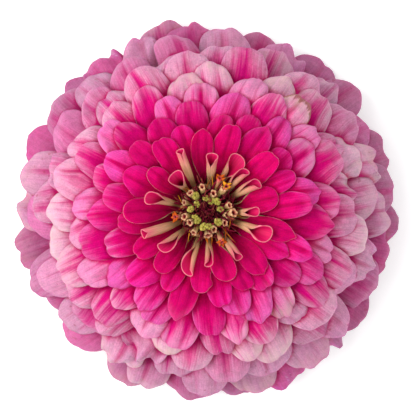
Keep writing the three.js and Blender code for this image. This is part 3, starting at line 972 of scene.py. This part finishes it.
# Levels by age: where fading starts and how strong it gets, and how strongly other marks show
FADE_START = ((0.0, 0.46), (0.2, 0.53), (0.35, 0.58), (0.47, 0.62), (0.6, 0.69), (0.72, 0.81), (0.85, 0.93),
              (1.0, 1.0))
FADE_MOST = ((0.0, 1.0), (0.8, 1.0), (0.9, 0.6), (1.0, 0.15))
DASHED = ((0.0, 0.24), (0.6, 0.26), (0.9, 0.1))
BRIGHTNESS = ((0.0, 0.80), (0.15, 0.89), (0.4, 0.97), (0.6, 1.0))
CREAMY = ((0.0, 0.15), (0.35, 0.55), (0.6, 0.6), (0.8, 0.3), (0.9, 0.0))
EDGED = ((0.0, 0.6), (0.25, 0.3), (0.6, 0.3), (0.8, 0.18), (0.9, 0.4), (1.0, 0.85))
PALE_END = ((0.5, 0.0), (0.65, 0.5), (0.78, 0.3), (0.86, 0.08), (0.92, 0.0))


def petal_material():
    """Magenta that fades in streaks to pale pink and mauve towards the tip, more so with age, and
    stays deep in the folds and along the margins. Deep magenta is also painted as shade in the creases,
    partly the petal's own colour there, and in the crevices between petals."""
    paint = Paint("petal")
    along, across, side = paint.split("place")
    age, tone, seed = paint.split("kind")
    groove, crevice_shade, fold = paint.split("relief")
    spread = abs(across)
    streaks = paint.noise(paint.vector(across * 2.6, along * 1.3, seed * 23.0), 1.6, 3.0, 0.55)
    veins = paint.noise(paint.vector(across * 20.0, along * 3.2, seed * 31.0), 1.0, 2.0, 0.6)
    dashes = paint.noise(paint.vector(across * 9.0, along * 6.0, seed * 47.0), 1.0, 3.0, 0.7)
    patches = streaks + 0.3 * seed
    mottle = paint.noise(paint.where(), 520.0, 3.0)
    grain = paint.noise(paint.where(), 2400.0)

    # How far the colour has faded, from the streaks, the folds, the age and the place along the blade
    margin = spread.ease(0.55, 1.0) * along.ease(0.98, 0.7)
    place = along + 0.62 * (streaks - 0.5) + 0.26 * (veins - 0.5) + 0.36 * (tone - 0.5)
    place = place - 0.3 * fold - 0.2 * margin
    faded = (place - age.level(FADE_START)).ease(-0.18, 0.28) * age.level(FADE_MOST)

    # The fading colour, pinker at the tips of some petals, and deep again in the creases, partly the petal's
    # own colour and partly painted shade
    deep, hot = age.curve(DEEP), age.curve(HOT)
    pinker = seed.ease(0.40, 0.12) * age.ease(0.5, 0.2, 0.0, 0.6)
    tip = paint.blend(pinker, age.curve(TIP), (196, 70, 138))
    warm = (along + 0.6 * (streaks - 0.5)).ease(0.25, 0.85)
    paint.colour = paint.blend(faded, paint.blend(warm, deep, hot), tip)
    crease_colour_and_shade = groove.ease(0.3, 1.0) * (streaks + tone).ease(0.6, 1.2, 0.15, 0.7)
    paint.lay(crease_colour_and_shade, deep)

    # Short dashes of magenta, and painted shade in crevices: deep magenta where petals hide each other
    paint.lay(dashes.ease(0.54, 0.74) * age.level(DASHED), hot)
    paint.lay(crevice_shade.ease(0.14, 0.58, 0.0, 0.97), age.curve(CREVICE_SHADE))

    # Sparse dark specks on the older petals
    specks = paint.noise(paint.where(), 760.0, 0.0).ease(0.75, 0.84) * age.ease(0.6, 0.3, 0.0, 0.5)
    paint.lay(specks, (160, 66, 92))

    # Tone of the single petal, soft blotches, the fine veins and the grain
    shade = tone.ease(0.0, 1.0, 0.88, 1.08) * age.level(BRIGHTNESS) * mottle.ease(0.25, 0.75, 0.88, 1.07)
    shade = shade * veins.ease(0.3, 0.7, 0.90, 1.05) * grain.ease(0.25, 0.75, 0.89, 1.09)
    paint.shade(shade)

    # Cream at some tips, and the thin edge, pale on the younger petals and pink on the oldest
    creamy = along.ease(0.78, 1.0) * seed.ease(0.45, 0.85) * streaks.ease(0.35, 0.6, 0.35, 1.0)
    creamy = creamy * age.level(CREAMY) * faded.ease(0.2, 0.9)
    cream = paint.blend(tone.ease(0.5, 0.95), (222, 182, 184), (222, 190, 168))
    paint.lay(creamy, cream)
    rim = spread.largest(6 * along - 5).ease(0.93, 0.99) * patches.ease(0.45, 0.8, 0.25, 1.0)
    paint.lay(rim * age.level(EDGED), age.curve(EDGE))

    # Pale ends of the petals between the fading ones and the youngest, and the odd tip withered brown
    pale = along.ease(0.86, 1.02) * patches.ease(0.5, 0.8) * age.level(PALE_END)
    paint.lay(pale, (232, 124, 168))
    withered = (along + 0.2 * (dashes - 0.5)).ease(0.93, 0.98) * age.ease(0.86, 0.82)
    paint.lay(0.85 * withered * seed.ease(0.972, 0.976), (136, 84, 72))

    # Paler underside, cream on the youngest
    paint.lay(0.95 * side, age.curve(UNDERSIDE))
    relief = 0.5 * veins + 0.6 * mottle + 0.25 * grain
    return paint.finish(mottle.ease(0.2, 0.8, 0.5, 0.66), relief, 0.18, glow=(0.5, (1.0, 0.15, 0.45), 2.0),
                        Specular_IOR_Level=0.08, Specular_Tint=(1.0, 0.4, 0.7, 1.0))


def young_material():
    """Crimson inside, cream with a green tinge outside, and a pale pink edge."""
    paint = Paint("young_petal")
    along, across, side = paint.split("place")
    _, tone, seed = paint.split("kind")
    veins = paint.noise(paint.vector(across * 14.0, along * 2.5, seed * 31.0), 1.0, 2.0, 0.6)
    inside = along.curve(((0.0, 156, 0, 48), (0.6, 184, 2, 68), (1.0, 206, 12, 92)))
    outside = along.curve((
        (0.0, 180, 140, 92), (0.4, 210, 162, 120), (0.75, 214, 148, 124), (1.0, 216, 92, 116)))
    edge = abs(across).largest(3 * along - 2).ease(0.94, 0.985) * along.ease(0.5, 0.8)
    paint.colour = paint.blend(edge, paint.blend(side, inside, outside), (228, 122, 136))
    paint.shade(tone.ease(0.0, 1.0, 0.9, 1.05) * veins.ease(0.3, 0.7, 0.82, 1.08))
    return paint.finish(0.5, veins, 0.1, glow=(0.2, (1.0, 0.3, 0.3), 1.0), Specular_IOR_Level=0.15)


def bract_material():
    """Green scales with fine veins and a dark brown fringed edge, on a paler cup."""
    paint = Paint("bract")
    along, across, _ = paint.split("place")
    _, tone, seed = paint.split("kind")
    veins = paint.noise(paint.vector(across * 16.0, along * 3.0, seed * 17.0), 1.0, 3.0, 0.6)
    mottle = paint.noise(paint.where(), 300.0, 4.0)
    green = ((0.0, 150, 168, 96), (0.5, 104, 136, 66), (0.85, 92, 120, 56), (1.0, 70, 84, 40))
    paint.colour = along.curve(green)
    shade = veins.ease(0.3, 0.7, 0.78, 1.15) * mottle.ease(0.3, 0.7, 0.85, 1.1)
    paint.shade(shade * tone.ease(0.0, 1.0, 0.88, 1.1))
    edge = abs(across).largest(along) + 0.12 * mottle
    paint.lay(edge.ease(0.96, 1.02) * along.ease(0.3, 0.6), (52, 30, 24))
    return paint.finish(mottle.ease(0.2, 0.8, 0.5, 0.7), veins + 0.4 * mottle, 0.15,
                        glow=(0.1, (0.4, 1.0, 0.2), 1.0), Specular_IOR_Level=0.3)


# Where the stalk's cut face and its pith end, in metres
CUT_DEPTH = 0.04 * MM
CUT_RADIUS = (STALK_RADIUS + 0.1) * MM
PITH_ENDS = (1.6 * MM, 2.8 * MM)


def stalk_material():
    """Green ribbed skin, with pale pith in the cut face."""
    paint = Paint("stalk")
    along, around, _ = paint.split("place")
    is_cone, _, _ = paint.split("kind")
    x, y, z = paint.parts(paint.where())
    radius = paint.value("ShaderNodeVectorMath", {0: paint.vector(x, y, 0.0)}, "Value", operation="LENGTH")
    mottle = paint.noise(paint.where(), 500.0, 4.0)
    fibres = paint.noise(paint.vector(around * 90.0, along * 6.0, 0.0), 1.0)
    skin = paint.blend((fibres + mottle).ease(0.7, 1.3), (112, 134, 70), (158, 174, 106))
    cone = paint.blend(mottle.ease(0.3, 0.7), (150, 60, 60), (178, 150, 96))
    pith = paint.blend(radius.ease(*PITH_ENDS), (226, 228, 196), (140, 164, 92))
    pith = pith.shaded(paint.noise(paint.where(), 2600.0).ease(0.4, 0.6, 0.8, 1.05))
    cut = z.math("LESS_THAN", CUT_DEPTH) * radius.math("LESS_THAN", CUT_RADIUS)
    paint.colour = paint.blend(cut, paint.blend(is_cone, skin, cone), pith)
    return paint.finish(0.6, fibres + mottle, 0.1, Specular_IOR_Level=0.3)


def floret_material():
    """Cream tubes with a pink lip and a dark red throat, and closed buds in yellow-green."""
    paint = Paint("disc_floret")
    along, lobes, inside = paint.split("place")
    kind, tone, _ = paint.split("kind")
    ring = kind.math("GREATER_THAN", RING_SORT - 0.5)
    bud = kind.math("MINIMUM", 1.0)
    fibres = paint.noise(paint.where(), 1500.0, 3.0)
    cream = ((0.0, 120, 116, 44), (0.4, 188, 168, 94), (0.8, 212, 180, 120), (1.0, 216, 168, 128))
    green = ((0.0, 120, 112, 36), (0.5, 182, 170, 74), (0.85, 208, 198, 104), (1.0, 170, 162, 66))
    tube = paint.blend(bud, along.curve(cream), along.curve(green))
    lip = paint.blend(bud, (210, 128, 106), (164, 158, 60))
    throat = paint.blend(bud, (160, 24, 46), (112, 116, 34))
    paint.colour = paint.blend(inside.ease(0.15, 0.5), tube, lip)
    paint.lay(inside.ease(0.55, 0.9), throat)
    paint.lay(lobes.ease(-0.2, -1.0) * along.ease(0.5, 1.0) * 0.4, (120, 60, 34))
    paint.lay(ring, (70, 6, 16))
    paint.shade(fibres.ease(0.3, 0.7, 0.78, 1.1) * tone.ease(0.0, 1.0, 0.85, 1.08))
    return paint.finish(0.5, fibres, 0.08, glow=(0.15, (1.0, 0.6, 0.3), 0.8), Specular_IOR_Level=0.2)


def star_material():
    """Pale tubes whose lobes, like the loose threads, are orange."""
    paint = Paint("star_floret")
    along, _, inside = paint.split("place")
    orange, _, seed = paint.split("kind")
    fibres = paint.noise(paint.where(), 1800.0, 3.0)
    lobe = paint.blend((seed + 0.6 * fibres).ease(0.4, 1.2), (196, 84, 8), (232, 158, 30))
    tube = along.curve(((0.0, 150, 130, 60), (0.8, 206, 140, 110), (1.0, 214, 80, 90)))
    paint.colour = paint.blend(orange.ease(0.4, 0.8), tube, lobe)
    paint.lay(inside, (120, 20, 14))
    return paint.finish(0.6, fibres, 0.08, Specular_IOR_Level=0.2)


def chaff_material():
    """Dark maroon scales, crimson round the outside of the disc, some with a lighter tip that is partly
    painted glint.
    """
    paint = Paint("chaff")
    along, _, _ = paint.split("place")
    inward, tone, seed = paint.split("kind")
    fibres = paint.noise(paint.where(), 2200.0, 3.0)
    dark = paint.blend(tone.ease(0.1, 0.9), (58, 0, 18), (126, 8, 44))
    dark = paint.blend(inward.ease(0.6, 0.0, 0.0, 0.8), dark, (168, 20, 66))
    # Tips crimson or lighter: partly the scales' own paler ends, partly painted glints
    tips_and_glints = paint.blend(seed.ease(0.4, 0.95), (146, 14, 54), (184, 92, 70))
    paint.colour = paint.blend(0.8 * along.ease(0.35, 1.0), dark, tips_and_glints)
    paint.shade(fibres.ease(0.3, 0.7, 0.7, 1.15))
    return paint.finish(0.55, fibres, 0.06, Specular_IOR_Level=0.25)


# Assembly
def settle(piece, node=None):
    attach(piece, "root")
    if node:
        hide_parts(node)


def bloom():
    """Every piece of the flower, on its one body, in place of the solid that it refines."""
    petal_paint = petal_material()
    chaff_paint = chaff_material()
    blades = bedded_petals()
    rays = [petals(blades[first:last], label, young_material() if label == "young" else petal_paint)
            for first, last, label in zip(TIERS, TIERS[1:] + (len(blades),), TIER_NAMES)]
    shade_crevices(rays)
    for piece, label in zip(rays, TIER_NAMES):
        settle(piece, f"{label}_petals")
    settle(stalk(stalk_material()), "stalk")
    settle(bracts(bract_material()), "bracts")
    settle(disc_florets(floret_material()), "disc_florets")
    settle(star_florets(star_material()))
    settle(tuft(chaff_paint), "chaff")
    settle(rim_chaff(chaff_paint))


# Stage, light and camera, in metres where not said otherwise
FLOOR_SIZE = 4
FLOOR_HEIGHT = -0.0001
FLOOR_COLOUR = (246, 246, 246)
FLOOR_GLOW = 0.32  # which thins the shadow on the surface
LAMPS = (  # name, place, power in watts and colour
    ("key", (-0.58, 0.04, 0.66), 7.9, (1.0, 0.98, 0.97)),
    ("fill", (0.6, -0.3, 0.7), 1.6, (0.95, 0.97, 1.0)),
)
LAMP_SIZE = 0.8
LAMP_TARGET = (0, 0, 0.03)
SKY_STRENGTH = 0.72
FRAME_PIXELS = 416
PIXEL = 0.2895  # millimetres of the surface in one pixel of the photograph
AXIS_PIXEL = (207.0, 211.2)  # where the bloom's axis stands in the photograph
CAMERA_HEIGHT = 1000.0  # in millimetres
SENSOR = 36  # width of the camera's sensor in millimetres


def floor():
    bpy.ops.mesh.primitive_plane_add(size=FLOOR_SIZE, location=(0, 0, FLOOR_HEIGHT))
    ground = bpy.context.object
    ground.name = "floor"
    white = (1.0, 1.0, 1.0, 1.0)
    paint = Paint("floor")
    paint.colour = FLOOR_COLOUR
    ground.data.materials.append(paint.finish(0.8, Emission_Color=white, Emission_Strength=FLOOR_GLOW))


def lamp(name, position, power, colour):
    light = bpy.data.lights.new(name, "AREA")
    light.size = LAMP_SIZE
    light.energy = power
    light.color = colour
    made = linked(name, light)
    made.location = position
    made.rotation_euler = (Vector(LAMP_TARGET) - Vector(position)).to_track_quat("-Z", "Y").to_euler()


def sky():
    world = bpy.data.worlds.new("sky")
    world.use_nodes = True
    background = world.node_tree.nodes["Background"]
    background.inputs["Color"].default_value = (1, 1, 1, 1)
    background.inputs["Strength"].default_value = SKY_STRENGTH
    bpy.context.scene.world = world


def camera():
    """Looks straight down, as the photograph does, with the bloom's axis where it has it."""
    data = bpy.data.cameras.new("camera")
    data.sensor_width = SENSOR
    data.lens = SENSOR * CAMERA_HEIGHT / (FRAME_PIXELS * PIXEL)
    right = (FRAME_PIXELS / 2 - AXIS_PIXEL[0]) * PIXEL
    up = (AXIS_PIXEL[1] - FRAME_PIXELS / 2) * PIXEL
    made = linked("camera", data)
    made.location = (right * MM, up * MM, CAMERA_HEIGHT * MM)
    bpy.context.scene.camera = made


bloom()
floor()
for lamp_values in LAMPS:
    lamp(*lamp_values)
sky()
camera()
bpy.context.scene.view_settings.view_transform = "Standard"
